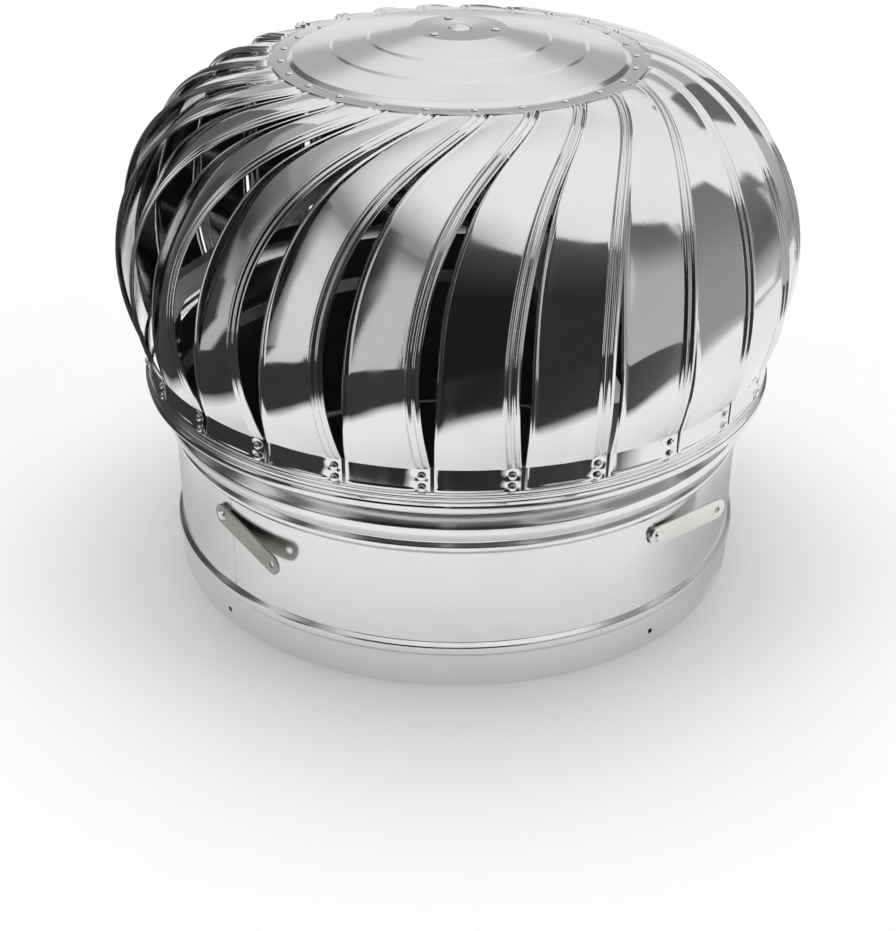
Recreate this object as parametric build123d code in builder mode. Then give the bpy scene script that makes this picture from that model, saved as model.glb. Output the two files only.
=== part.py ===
"""Roof turbine ventilator: a fixed sheet-metal neck and a wind-driven rotor of 25 ribbed vanes.

Units are millimetres. The origin is the centre of the neck's lower edge and +Z is up.
Angles are degrees about +Z from +X, and the front of the ventilator is at -90.
"""
import os
from math import cos, radians, sin

from build123d import *

# ---------------------------------------------------------------- driving dimensions
FRONT = -90.0                 # direction of the front
SHEET = 1.0                   # gauge of the neck, ring and top plate

# neck: a rolled throat that slips over the roof duct
DUCT_BORE_R = 249.5           # inner radius of the skirt
SKIRT_H = 29.5                # height of the skirt below its bead
BEAD_OUT = 2.3                # how far the lower bead stands out of the skirt
BEAD_H = 11.5                 # height of the lower bead
WALL_STEP = 0.7               # the plain wall's outside lies this far inside the duct's bore
WALL_TOP = 125.5              # where the plain wall ends
NECK_BEAD_OUT = 2.5           # how far the upper bead stands out of the wall
NECK_BEAD_H = 9.0             # height of the upper bead
GROOVE_H = 3.5                # plain groove between the upper bead and the collar
COLLAR_OUT = 8.0              # how far the collar bulges out of the wall
COLLAR_H = 22.5               # height of the collar
COLLAR_SHAPE = ((0.14, 0.62), (0.38, 0.97), (0.62, 1.0), (0.86, 0.7))   # shares of both
SPIGOT_OUT = 1.2              # the band inside the rotor ring stands this far out of the wall
SPIGOT_H = 29.5               # height of that band above the collar

# screw holes and tie straps, four of each on the same radial lines
STRAP_COUNT = 4
STRAP_PHASE = FRONT - 49.2    # direction of the first strap
SCREW_Z = 13.0
SCREW_HOLE_R = 2.4
STRAP_DROP = 18.5             # strap pivots below the top of the plain wall
STRAP_REACH = 70.0            # pivot to eye
STRAP_W = 18.0
STRAP_T = 2.0
STRAP_EYE_R = 3.2
STRAP_DROOPS = (11.5, 1.6, 6.0, 9.0)   # how far each strap hangs below level
PIVOT_R = 2.4
PIVOT_HEAD_R = 4.6
PIVOT_HEAD_T = 1.6
PIVOT_SHOULDER_R = 7.0
PIVOT_SHOULDER_T = 1.0
PIVOT_CLEAR = 0.08            # running clearance of the straps on their pivots
SEAT_CLEAR = 0.3              # gap between curved parts that only rest on each other
SLIDE_CLEAR = 0.1             # side gap of the straps between head and shoulder

# rotor ring: the drum that carries the vane feet
RING_GAP = 17.6               # between the outsides of the neck's band and of the drum
RING_LIFT = 13.0              # lower edge of the ring above the collar
RING_H = 37.5                 # height of the ring
RING_STEP_H = 15.5            # where the drum ends and the mouldings start, above the lower edge
RING_STEP_OUT = 1.6
RING_GROOVE_H = 9.5           # groove between the moulding and the rolled edge
RING_ROLL_OUT = 3.6           # how far the rolled edge stands out of the drum
RING_ROLL_IN = 2.0            # how far it stands in from the drum's inside

# vanes
VANE_COUNT = 25
VANE_PITCH = 360.0 / VANE_COUNT
VANE_PHASE = FRONT + 9.1      # direction of the first vane's foot rivets
VANE_T = 0.8
RIB_W = 5.8                   # width of each of the two ribs pressed into the free edge
RIB_H = 2.1
FOOT_CLEAR = 0.8              # between the drum and the inside of the foot's corners
FOOT_LIFT = 18.0              # lower edge of the feet above the ring's lower edge
FOOT_TAB_H = 20.0             # height of the flat foot
GLOBE_H = 229.0               # from the top of the feet to the underside of the top tabs
TAB_LENGTH = 15.5             # length of the flat top tab
TAB_OUT = 2.2                 # how far the tab reaches out of the top plate
FLAT_RIB = 0.05               # what is left of the ribs on the flattened foot and top tab
# Each station of a vane, from foot to top. The radius of its free edge is a share of the way out
# from the top tab to the foot, and its height a share of the way up from the foot to the tab.
# The sweeps of that edge and of the inner edge count from the foot rivets, in degrees. The dive,
# how far the inner edge goes under the neighbouring vane, is a share of the same way out.
VANE_STATIONS = (
    (1.080, 0.103, 0.7, -12.3, 0.026),
    (1.136, 0.221, 0.2, -12.1, 0.074),
    (1.150, 0.343, 0.0, -12.0, 0.109),
    (1.124, 0.465, 0.4, -11.7, 0.129),
    (1.061, 0.583, 1.4, -11.0, 0.147),
    (0.957, 0.692, 3.0, -9.9, 0.142),
    (0.817, 0.788, 5.4, -8.0, 0.110),
    (0.634, 0.876, 9.3, -4.9, 0.070),
    (0.420, 0.941, 15.2, 0.6, 0.039),
    (0.210, 0.980, 21.8, 7.0, 0.023),
    (0.031, 0.999, 27.4, 12.6, 0.012),
)
FOOT_SWEEP = (1.4, -12.4)     # free edge and inner edge of the foot
TAB_SWEEP = (27.2, 13.4)      # free edge and inner edge of the top tab
CAMBER = 1.6                  # bulge of the sheet between its edges
CREST = 0.55                  # where that bulge is highest, as a share of the width

# top plate: a shallow cone in three steps
FLANGE_R = 151.8              # outer radius of the flat rim
FLANGE_W = 14.3               # width of that rim
FLANGE_CLEAR = 0.1            # between the vanes' top tabs and the rim
CONE_FOOT_W = 3.5             # width and rise of the steep foot of the cone
CONE_FOOT_RISE = 2.9
STEP_RADII = (103.0, 73.0)    # middle radius of each pressed step
STEP_W = 2.6
STEP_H = 1.3
CONE_SLOPE = 0.19
PLATEAU_R = 38.0
PIP_R = 9.0
PIP_H = 3.6
RIM_RIVET_IN = 8.5            # rim rivets in from the edge of the rim
RIM_RIVET_SWEEP = 24.5        # from a vane's foot rivets to its rim rivet

# rivet heads
RIM_HEAD_R = 3.0
FOOT_HEAD_R = 3.1
HEAD_H = 1.5
HEAD_SIDES = 8
FOOT_RIVET_GAP = 9.8          # between the two rivets of a foot
FOOT_RIVET_LIFT = 8.1         # middle of the two above the foot's lower edge

# bearing unit: a fixed housing with two ball bearings around the rotor's shaft
BEARING_BORE_R = 7.5
BEARING_OUT_R = 17.5
BEARING_W = 11.0
INNER_RING_R = 11.2           # outside of a bearing's inner ring
SHIELD_GAP = 0.3              # gap between the shielded outer ring and the inner ring
HOUSING_R = 23.0
HOUSING_DROP = 32.5           # top of the housing below the vanes' top tabs
HOUSING_H = 72.0
SHOULDER_R = 15.0             # bore between the two bearing seats
HUB_R = 48.0                  # flange of the housing that carries the arms
HUB_RISE = 30.0               # underside of that flange above the housing's lower end
HUB_T = 4.0
FIT = 0.02                    # radial clearance of the bearing seats

# shaft
SHAFT_COLLAR_R = 10.0
SHAFT_FLANGE_R = 35.0
SHAFT_FLANGE_T = 3.0
STUD_R = 6.0                  # threaded end of the shaft
STUD_LENGTH = 16.0
NUT_AF = 19.0
NUT_H = 10.0
NUT_WASHER_R = 10.5
NUT_WASHER_T = 2.0
SLEEVE_R = 9.5
BOSS_RIVET_R = 29.5
BOSS_RIVET_PHASE = FRONT + 78.0
BOSS_HEAD_R = 3.6
BOSS_SHANK_R = 2.4

# support arms
ARM_COUNT = 3
ARM_PHASE = FRONT - 92.0
ARM_W = 30.0
ARM_T = 2.0
ARM_FLANGE = 12.0             # depth of the arm's side flanges
ARM_CLEAR = 0.5               # between the neck's inside and the arm's leg
ARM_DROP = 0.5                # lower end of the leg below the top of the collar
ARM_KNEE_RISE = 51.0          # bend between the leg and the slope, above the neck
ARM_HUB_R = 58.0              # bend between the slope and the level end
ARM_END_R = 25.0
ARM_RIVET_RISES = (7.5, 21.5)     # the arm's two rivets above the top of the collar
ARM_RIVET_SHANK_R = 2.4
HOLE_CLEAR = 0.05
ARM_HEAD_R = 4.5
BOLT_R = 3.0
BOLT_CIRCLE_R = 39.0
BOLT_HEAD_AF = 10.0
BOLT_HEAD_H = 4.0
BOLT_NUT_H = 5.0
BOLT_TAIL = 2.0
BOLT_CLEAR = 0.15

# ---------------------------------------------------------------- worked-out sizes
WALL_R = DUCT_BORE_R - WALL_STEP
SPIGOT_R = WALL_R + SPIGOT_OUT
RING_R = SPIGOT_R + RING_GAP
FOOT_R = RING_R + FOOT_CLEAR
ARM_FACE_R = SPIGOT_R - SHEET - ARM_CLEAR
TAB_OUT_R = FLANGE_R + TAB_OUT
TAB_IN_R = TAB_OUT_R - TAB_LENGTH
CONE_FOOT_R = FLANGE_R - FLANGE_W
CONE_R = CONE_FOOT_R - CONE_FOOT_W
RIM_RIVET_R = FLANGE_R - RIM_RIVET_IN

WALL_Z = SKIRT_H + BEAD_H
STRAP_Z = WALL_TOP - STRAP_DROP
NECK_BEAD_TOP = WALL_TOP + NECK_BEAD_H
COLLAR_Z = NECK_BEAD_TOP + GROOVE_H
COLLAR_TOP = COLLAR_Z + COLLAR_H
SPIGOT_TOP = COLLAR_TOP + SPIGOT_H
RING_BOTTOM = COLLAR_TOP + RING_LIFT
RING_TOP = RING_BOTTOM + RING_H
RING_STEP_Z = RING_BOTTOM + RING_STEP_H
RING_GROOVE_Z = RING_BOTTOM + RING_GROOVE_H
FOOT_Z = RING_BOTTOM + FOOT_LIFT
FOOT_TOP = FOOT_Z + FOOT_TAB_H
TAB_Z = FOOT_TOP + GLOBE_H
FLANGE_BOTTOM = TAB_Z + VANE_T + FLANGE_CLEAR
FLANGE_TOP = FLANGE_BOTTOM + SHEET
CONE_EDGE_Z = FLANGE_TOP + CONE_FOOT_RISE
HOUSING_TOP = TAB_Z - HOUSING_DROP
HOUSING_BOTTOM = HOUSING_TOP - HOUSING_H
HUB_Z = HOUSING_BOTTOM + HUB_RISE
ARM_BOTTOM = COLLAR_TOP - ARM_DROP
ARM_KNEE_Z = SPIGOT_TOP + ARM_KNEE_RISE
ARM_RIVET_Z = [COLLAR_TOP + rise for rise in ARM_RIVET_RISES]
UPPER_SEAT = HOUSING_TOP - BEARING_W
LOWER_SEAT = HOUSING_BOTTOM
SHOULDER_FACE = WALL_R + SEAT_CLEAR + PIVOT_SHOULDER_T
STRAP_FACE = SHOULDER_FACE + SLIDE_CLEAR      # inner face of a strap
BEARING_SEATS = {"upper": UPPER_SEAT, "lower": LOWER_SEAT}

pieces = {}


def keep(name, part):
    """Label a finished piece and remember it for export."""
    part.label = name
    pieces[name] = part


def polar(radius, angle, height):
    """A point given by radius, direction and height."""
    return Vector(radius * cos(radians(angle)), radius * sin(radians(angle)), height)


def radial_plane(angle):
    """The upright plane through the axis, with its X outwards and its Y up."""
    return Plane(origin=(0, 0, 0), x_dir=polar(1, angle, 0), z_dir=polar(1, angle - 90, 0))


def facing_plane(angle, radius, height):
    """The plane tangent to a cylinder: Z outwards, X to the right as seen from outside."""
    return Plane(
        origin=polar(radius, angle, height), x_dir=polar(1, angle + 90, 0), z_dir=polar(1, angle, 0)
    )


# ---------------------------------------------------------------- neck
skirt_r = DUCT_BORE_R + SHEET
wall_in_r = WALL_R - SHEET
bead_r = skirt_r + BEAD_OUT
neck_bead_r = WALL_R + NECK_BEAD_OUT
collar_r = WALL_R + COLLAR_OUT
spigot_in_r = SPIGOT_R - SHEET

with BuildPart() as neck:
    with BuildSketch(Plane.XZ):
        outside = [
            (DUCT_BORE_R, 0),
            (skirt_r, 0),
            (skirt_r, SKIRT_H),
            (bead_r, SKIRT_H + 0.25 * BEAD_H),
            (bead_r, SKIRT_H + 0.75 * BEAD_H),
            (WALL_R, WALL_Z),
            (WALL_R, WALL_TOP),
            (neck_bead_r, WALL_TOP + 0.4 * NECK_BEAD_H),
            (neck_bead_r, WALL_TOP + 0.6 * NECK_BEAD_H),
            (WALL_R, NECK_BEAD_TOP),
            (WALL_R, COLLAR_Z),
        ]
        for share, bulge in COLLAR_SHAPE:
            outside.append((WALL_R + bulge * COLLAR_OUT, COLLAR_Z + share * COLLAR_H))
        inside = [
            (SPIGOT_R, COLLAR_TOP),
            (SPIGOT_R, SPIGOT_TOP),
            (spigot_in_r, SPIGOT_TOP),
            (spigot_in_r, COLLAR_TOP),
            (collar_r - 2 * SHEET, COLLAR_Z + 0.5 * COLLAR_H),
            (wall_in_r, COLLAR_Z),
            (wall_in_r, WALL_Z - SHEET),
            (DUCT_BORE_R, SKIRT_H),
        ]
        Polygon(*outside, *inside, align=None)
    revolve(axis=Axis.Z)
    for number in range(STRAP_COUNT):
        side = STRAP_PHASE + number * 360 / STRAP_COUNT
        with BuildSketch(facing_plane(side, wall_in_r - 2 * SHEET, SCREW_Z)):
            Circle(SCREW_HOLE_R)
        extrude(amount=6 * SHEET, mode=Mode.SUBTRACT)
        with BuildSketch(facing_plane(side, wall_in_r - 2 * SHEET, STRAP_Z)):
            RegularPolygon(PIVOT_R + HOLE_CLEAR, HEAD_SIDES)
        extrude(amount=6 * SHEET, mode=Mode.SUBTRACT)
    for number in range(ARM_COUNT):
        side = ARM_PHASE + number * 360 / ARM_COUNT
        for height in ARM_RIVET_Z:
            with BuildSketch(facing_plane(side, spigot_in_r - 2 * SHEET, height)):
                RegularPolygon(ARM_RIVET_SHANK_R + HOLE_CLEAR, HEAD_SIDES)
            extrude(amount=5 * SHEET, mode=Mode.SUBTRACT)
keep("neck_shell", neck.part)

# ---------------------------------------------------------------- support arms
arm_low = HUB_Z + HUB_T
arm_high = arm_low + ARM_T
leg_in_r = ARM_FACE_R - ARM_T
arm_inside_r = leg_in_r - ARM_FLANGE
for number in range(ARM_COUNT):
    side = ARM_PHASE + number * 360 / ARM_COUNT
    with BuildPart() as arm:
        with BuildSketch(radial_plane(side)):
            Polygon(
                (ARM_FACE_R, ARM_BOTTOM),
                (ARM_FACE_R, ARM_KNEE_Z),
                (ARM_HUB_R, arm_high),
                (ARM_END_R, arm_high),
                (ARM_END_R, arm_low),
                (ARM_HUB_R, arm_low),
                (leg_in_r, ARM_KNEE_Z - ARM_T),
                (leg_in_r, ARM_BOTTOM),
                align=None,
            )
        extrude(amount=ARM_W / 2, both=True)
        for edge in (-ARM_W / 2, ARM_W / 2 - ARM_T):
            with BuildSketch(radial_plane(side).offset(edge)):
                Polygon(
                    (leg_in_r, ARM_KNEE_Z - ARM_FLANGE * 3),
                    (ARM_FACE_R - ARM_T / 2, ARM_KNEE_Z - ARM_T / 2),
                    (ARM_HUB_R, arm_high - ARM_T / 2),
                    (ARM_HUB_R, arm_low - ARM_T),
                    (arm_inside_r, ARM_KNEE_Z - ARM_FLANGE),
                    align=None,
                )
            extrude(amount=ARM_T)
        for height in ARM_RIVET_Z:
            with BuildSketch(facing_plane(side, leg_in_r - ARM_T, height)):
                RegularPolygon(ARM_RIVET_SHANK_R + HOLE_CLEAR, HEAD_SIDES)
            extrude(amount=3 * ARM_T, mode=Mode.SUBTRACT)
        with BuildSketch(Plane.XY.offset(arm_low - ARM_T)):
            with PolarLocations(BOLT_CIRCLE_R, 1, start_angle=side):
                RegularPolygon(BOLT_R + BOLT_CLEAR, HEAD_SIDES)
        extrude(amount=3 * ARM_T, mode=Mode.SUBTRACT)
    keep(f"support_arm_{number + 1}", arm.part)

# rivets that hold the arms' legs to the neck, driven from outside
with BuildPart() as arm_rivets:
    for number in range(ARM_COUNT):
        side = ARM_PHASE + number * 360 / ARM_COUNT
        for height in ARM_RIVET_Z:
            with BuildSketch(facing_plane(side, leg_in_r, height)):
                RegularPolygon(ARM_HEAD_R, HEAD_SIDES)
            extrude(amount=-PIVOT_HEAD_T)
            with BuildSketch(facing_plane(side, leg_in_r, height)):
                RegularPolygon(ARM_RIVET_SHANK_R, HEAD_SIDES)
            extrude(amount=SPIGOT_R - leg_in_r)
            with BuildSketch(facing_plane(side, SPIGOT_R, height)):
                RegularPolygon(ARM_HEAD_R, HEAD_SIDES)
            extrude(amount=PIVOT_HEAD_T)
keep("arm_rivets", arm_rivets.part)

# ---------------------------------------------------------------- bearing unit
with BuildPart() as housing:
    with BuildSketch(Plane.XZ):
        Polygon(
            (SHOULDER_R, LOWER_SEAT + BEARING_W),
            (BEARING_OUT_R, LOWER_SEAT + BEARING_W),
            (BEARING_OUT_R, HOUSING_BOTTOM),
            (HOUSING_R, HOUSING_BOTTOM),
            (HOUSING_R, HUB_Z),
            (HUB_R, HUB_Z),
            (HUB_R, HUB_Z + HUB_T),
            (HOUSING_R, HUB_Z + HUB_T),
            (HOUSING_R, HOUSING_TOP),
            (BEARING_OUT_R, HOUSING_TOP),
            (BEARING_OUT_R, UPPER_SEAT),
            (SHOULDER_R, UPPER_SEAT),
            align=None,
        )
    revolve(axis=Axis.Z)
    with BuildSketch(Plane.XY.offset(HUB_Z)):
        with PolarLocations(BOLT_CIRCLE_R, ARM_COUNT, start_angle=ARM_PHASE):
            RegularPolygon(BOLT_R + BOLT_CLEAR, HEAD_SIDES)
    extrude(amount=HUB_T, mode=Mode.SUBTRACT)
keep("bearing_housing", housing.part)

ring_radii = {
    "outer": (BEARING_OUT_R - FIT, INNER_RING_R + SHIELD_GAP),
    "inner": (INNER_RING_R, BEARING_BORE_R),
}
for place, seat in BEARING_SEATS.items():
    for ring_name, (outer_r, inner_r) in ring_radii.items():
        with BuildPart() as bearing_ring:
            with BuildSketch(Plane.XY.offset(seat)):
                Circle(outer_r)
                Circle(inner_r, mode=Mode.SUBTRACT)
            extrude(amount=BEARING_W)
        keep(f"bearing_{ring_name}_ring_{place}", bearing_ring.part)

bolt_seat = arm_high
with BuildPart() as bolts:
    with BuildSketch(Plane.XY.offset(bolt_seat)):
        with PolarLocations(BOLT_CIRCLE_R, ARM_COUNT, start_angle=ARM_PHASE):
            RegularPolygon(BOLT_HEAD_AF / 2, 6, major_radius=False)
    extrude(amount=BOLT_HEAD_H)
    with BuildSketch(Plane.XY.offset(bolt_seat)):
        with PolarLocations(BOLT_CIRCLE_R, ARM_COUNT, start_angle=ARM_PHASE):
            RegularPolygon(BOLT_R, HEAD_SIDES)
    extrude(amount=-(ARM_T + HUB_T + BOLT_NUT_H + BOLT_TAIL))
keep("housing_bolts", bolts.part)

with BuildPart() as bolt_nuts:
    with BuildSketch(Plane.XY.offset(HUB_Z)):
        with PolarLocations(BOLT_CIRCLE_R, ARM_COUNT, start_angle=ARM_PHASE):
            RegularPolygon(BOLT_HEAD_AF / 2, 6, major_radius=False)
        with PolarLocations(BOLT_CIRCLE_R, ARM_COUNT, start_angle=ARM_PHASE):
            RegularPolygon(BOLT_R + FIT, HEAD_SIDES, mode=Mode.SUBTRACT)
    extrude(amount=-BOLT_NUT_H)
keep("housing_nuts", bolt_nuts.part)

# ---------------------------------------------------------------- tie straps
for number in range(STRAP_COUNT):
    side = STRAP_PHASE + number * 360 / STRAP_COUNT
    droop = radians(STRAP_DROOPS[number])
    level = facing_plane(side, STRAP_FACE, STRAP_Z)
    reach = level.x_dir * cos(droop) - level.y_dir * sin(droop)
    with BuildPart() as strap:
        with BuildSketch(Plane(origin=level.origin, x_dir=reach, z_dir=level.z_dir)):
            with Locations((STRAP_REACH / 2, 0)):
                SlotCenterToCenter(STRAP_REACH, STRAP_W)
            Circle(PIVOT_R + PIVOT_CLEAR, mode=Mode.SUBTRACT)
            with Locations((STRAP_REACH, 0)):
                Circle(STRAP_EYE_R, mode=Mode.SUBTRACT)
        extrude(amount=STRAP_T)
    keep(f"tie_strap_{number + 1}", strap.part)

# pivots of the straps: inner head, shank through the wall, shoulder, pin, outer head
head_seat = STRAP_FACE + STRAP_T + SLIDE_CLEAR
tail_seat = wall_in_r - SEAT_CLEAR
with BuildPart() as pivots:
    for number in range(STRAP_COUNT):
        side = STRAP_PHASE + number * 360 / STRAP_COUNT
        with BuildSketch(facing_plane(side, tail_seat, STRAP_Z)):
            RegularPolygon(PIVOT_HEAD_R, HEAD_SIDES)
        extrude(amount=-PIVOT_HEAD_T)
        with BuildSketch(facing_plane(side, tail_seat, STRAP_Z)):
            RegularPolygon(PIVOT_R, HEAD_SIDES)
        extrude(amount=SHOULDER_FACE - tail_seat)
        with BuildSketch(facing_plane(side, SHOULDER_FACE, STRAP_Z)):
            RegularPolygon(PIVOT_SHOULDER_R, 2 * HEAD_SIDES)
        extrude(amount=-PIVOT_SHOULDER_T)
        with BuildSketch(facing_plane(side, SHOULDER_FACE, STRAP_Z)):
            Circle(PIVOT_R)
        extrude(amount=head_seat - SHOULDER_FACE)
        with BuildSketch(facing_plane(side, head_seat, STRAP_Z)):
            RegularPolygon(PIVOT_HEAD_R, 2 * HEAD_SIDES)
        extrude(amount=PIVOT_HEAD_T, taper=30)
keep("strap_rivets", pivots.part)

# ---------------------------------------------------------------- rotor ring
drum_in_r = RING_R - SHEET
with BuildPart() as ring:
    with BuildSketch(Plane.XZ):
        Polygon(
            (drum_in_r, RING_TOP),
            (RING_R, RING_TOP),
            (RING_R, RING_STEP_Z),
            (RING_R + RING_STEP_OUT, RING_STEP_Z - RING_STEP_OUT),
            (RING_R + RING_STEP_OUT, RING_GROOVE_Z + RING_STEP_OUT),
            (RING_R, RING_GROOVE_Z),
            (RING_R + RING_ROLL_OUT, RING_GROOVE_Z - RING_ROLL_IN),
            (RING_R + RING_ROLL_OUT, RING_BOTTOM + RING_ROLL_IN),
            (RING_R + RING_ROLL_OUT - RING_ROLL_IN, RING_BOTTOM),
            (drum_in_r - RING_ROLL_IN, RING_BOTTOM),
            (drum_in_r - RING_ROLL_IN, RING_GROOVE_Z - RING_ROLL_IN),
            (drum_in_r, RING_GROOVE_Z),
            align=None,
        )
    revolve(axis=Axis.Z)
keep("rotor_ring", ring.part)


# ---------------------------------------------------------------- vanes
def vane_plane(edge, inner, outward):
    """The plane that cuts a vane from its free edge to its inner edge, with Y outwards."""
    across = inner - edge
    return Plane(origin=edge, x_dir=across, z_dir=across.cross(outward))


def vane_outline(width, rib, camber):
    """The cut through a vane: two ribs at the free edge, then the gently bulged sheet."""
    crest = CREST * width
    rise = camber / crest
    points = [(0, 0), (0, VANE_T)]
    for step in range(1, 5):
        along = step * RIB_W / 2
        proud = rib if step % 2 else 0
        points.append((along, VANE_T + along * rise + proud))
    points += [(crest, VANE_T + camber), (width, VANE_T), (width, 0), (crest, camber)]
    return points


def vane_cuts():
    """Edge point, inner point, outward direction, rib height and bulge of each cut, foot first."""
    foot_edge, foot_inner = (VANE_PHASE + sweep for sweep in FOOT_SWEEP)
    foot_bulge = FOOT_R * (1 - cos(radians(foot_edge - foot_inner) / 2))
    foot_out = polar(1, (foot_edge + foot_inner) / 2, 0)
    cuts = []
    for height in (FOOT_Z, FOOT_TOP):
        edge = polar(FOOT_R, foot_edge, height)
        inner = polar(FOOT_R, foot_inner, height)
        cuts.append((edge, inner, foot_out, FLAT_RIB, foot_bulge))
    reach = FOOT_R - TAB_OUT_R
    curve = [(TAB_OUT_R + out * reach, FOOT_TOP + up * GLOBE_H) for out, up, *_ in VANE_STATIONS]
    for number, (radius, height) in enumerate(curve):
        sweep, inner_sweep, dive_share = VANE_STATIONS[number][2:]
        dive = dive_share * reach
        before = Vector(curve[max(number - 1, 0)])
        after = Vector(curve[min(number + 1, len(curve) - 1)])
        climb = (after - before).normalized()
        edge = polar(radius, VANE_PHASE + sweep, height)
        inner = polar(
            radius - dive * climb.Y, VANE_PHASE + inner_sweep, height + dive * climb.X
        )
        outward = polar(climb.Y, VANE_PHASE + (sweep + inner_sweep) / 2, -climb.X)
        cuts.append((edge, inner, outward, RIB_H, CAMBER))
    tab_edge, tab_inner = (VANE_PHASE + sweep for sweep in TAB_SWEEP)
    for radius in (TAB_OUT_R, TAB_IN_R):
        edge = polar(radius, tab_edge, TAB_Z)
        inner = polar(radius, tab_inner, TAB_Z)
        cuts.append((edge, inner, Vector(0, 0, 1), FLAT_RIB, FLAT_RIB))
    return cuts


def placed(cut):
    """The outline of one cut, as points in space."""
    edge, inner, outward, rib, bulge = cut
    plane = vane_plane(edge, inner, outward)
    return [plane.from_local_coords((*point, 0)) for point in vane_outline((inner - edge).length, rib, bulge)]


def flat_strips(near, far):
    """Flat triangles between two outlines: a twisted strip would not stay flat."""
    for index, (a, b) in enumerate(zip(near, far)):
        a_next = near[(index + 1) % len(near)]
        b_next = far[(index + 1) % len(far)]
        yield Face(Wire.make_polygon([a, a_next, b_next]))
        yield Face(Wire.make_polygon([a, b_next, b]))


outlines = [placed(cut) for cut in vane_cuts()]
skin = [Face(Wire.make_polygon(outlines[0])), Face(Wire.make_polygon(outlines[-1]))]
for near, far in zip(outlines, outlines[1:]):
    skin += flat_strips(near, far)
vane = Part(Solid(Shell(skin)).wrapped)
for number in range(VANE_COUNT):
    keep(f"vane_{number + 1:02d}", vane.rotate(Axis.Z, number * VANE_PITCH))

# ---------------------------------------------------------------- top plate
with BuildPart() as top_plate:
    with BuildSketch(Plane.XZ):
        radius = CONE_R
        height = CONE_EDGE_Z
        upper = [(FLANGE_R, FLANGE_BOTTOM), (FLANGE_R, FLANGE_TOP), (CONE_FOOT_R, FLANGE_TOP)]
        upper.append((radius, height))
        for step_r in STEP_RADII:
            height += (radius - step_r - STEP_W / 2) * CONE_SLOPE
            radius = step_r + STEP_W / 2
            upper.append((radius, height))
            height += STEP_H
            radius = step_r - STEP_W / 2
            upper.append((radius, height))
        plateau_z = height + (radius - PLATEAU_R) * CONE_SLOPE
        upper.append((PLATEAU_R, plateau_z))
        upper += [(PIP_R, plateau_z), (PIP_R * 0.6, plateau_z + PIP_H * 0.8)]
        upper.append((0, plateau_z + PIP_H))
        lower = [
            (0, plateau_z - SHEET),
            (PLATEAU_R, plateau_z - SHEET),
            (CONE_R, CONE_EDGE_Z - SHEET * 1.4),
            (CONE_FOOT_R, FLANGE_BOTTOM),
        ]
        Polygon(*upper, *lower, align=None)
    revolve(axis=Axis.Z)
    with BuildSketch(Plane.XY.offset(plateau_z - SHEET)):
        with PolarLocations(BOSS_RIVET_R, 3, start_angle=BOSS_RIVET_PHASE):
            RegularPolygon(BOSS_SHANK_R + HOLE_CLEAR, HEAD_SIDES)
    extrude(amount=2 * SHEET, mode=Mode.SUBTRACT)
keep("top_plate", top_plate.part)

with BuildPart() as rim_rivets:
    with BuildSketch(Plane.XY.offset(FLANGE_TOP)):
        first = VANE_PHASE + RIM_RIVET_SWEEP
        with PolarLocations(RIM_RIVET_R, VANE_COUNT, start_angle=first):
            RegularPolygon(RIM_HEAD_R, HEAD_SIDES)
    extrude(amount=HEAD_H, taper=35)
keep("rim_rivets", rim_rivets.part)

foot_edge, foot_inner, foot_out, _, foot_bulge = vane_cuts()[0]
foot_cut = vane_plane(foot_edge, foot_inner, foot_out)
foot_rise = foot_bulge / (CREST * (foot_inner - foot_edge).length)
rivet_in = FOOT_R * radians(FOOT_SWEEP[0])
seat = foot_cut.from_local_coords((rivet_in, VANE_T + FLAT_RIB + rivet_in * foot_rise, 0))
seat_out = (foot_cut.y_dir - foot_cut.x_dir * foot_rise).normalized()
with BuildPart() as foot_rivets:
    for number in range(VANE_COUNT):
        turned = seat.rotate(Axis.Z, number * VANE_PITCH)
        facing = seat_out.rotate(Axis.Z, number * VANE_PITCH)
        for rise in (-FOOT_RIVET_GAP / 2, FOOT_RIVET_GAP / 2):
            spot = turned + Vector(0, 0, FOOT_RIVET_LIFT + rise)
            with BuildSketch(Plane(origin=spot, x_dir=(0, 0, 1), z_dir=facing)):
                RegularPolygon(FOOT_HEAD_R, HEAD_SIDES)
            extrude(amount=HEAD_H, taper=35)
keep("foot_rivets", foot_rivets.part)

# ---------------------------------------------------------------- shaft
flange_top = plateau_z - SHEET
flange_bottom = flange_top - SHAFT_FLANGE_T
shaft_r = BEARING_BORE_R - FIT
collar_seat = UPPER_SEAT + BEARING_W
with BuildPart() as shaft:
    with BuildSketch(Plane.XZ):
        Polygon(
            (0, LOWER_SEAT - STUD_LENGTH),
            (STUD_R - SHEET, LOWER_SEAT - STUD_LENGTH),
            (STUD_R, LOWER_SEAT - STUD_LENGTH + SHEET),
            (STUD_R, LOWER_SEAT),
            (shaft_r, LOWER_SEAT),
            (shaft_r, collar_seat),
            (SHAFT_COLLAR_R, collar_seat),
            (SHAFT_COLLAR_R, flange_bottom),
            (SHAFT_FLANGE_R, flange_bottom),
            (SHAFT_FLANGE_R, flange_top),
            (0, flange_top),
            align=None,
        )
    revolve(axis=Axis.Z)
    with BuildSketch(Plane.XY.offset(flange_bottom)):
        with PolarLocations(BOSS_RIVET_R, 3, start_angle=BOSS_RIVET_PHASE):
            RegularPolygon(BOSS_SHANK_R + HOLE_CLEAR, HEAD_SIDES)
    extrude(amount=SHAFT_FLANGE_T, mode=Mode.SUBTRACT)
keep("rotor_shaft", shaft.part)

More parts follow.
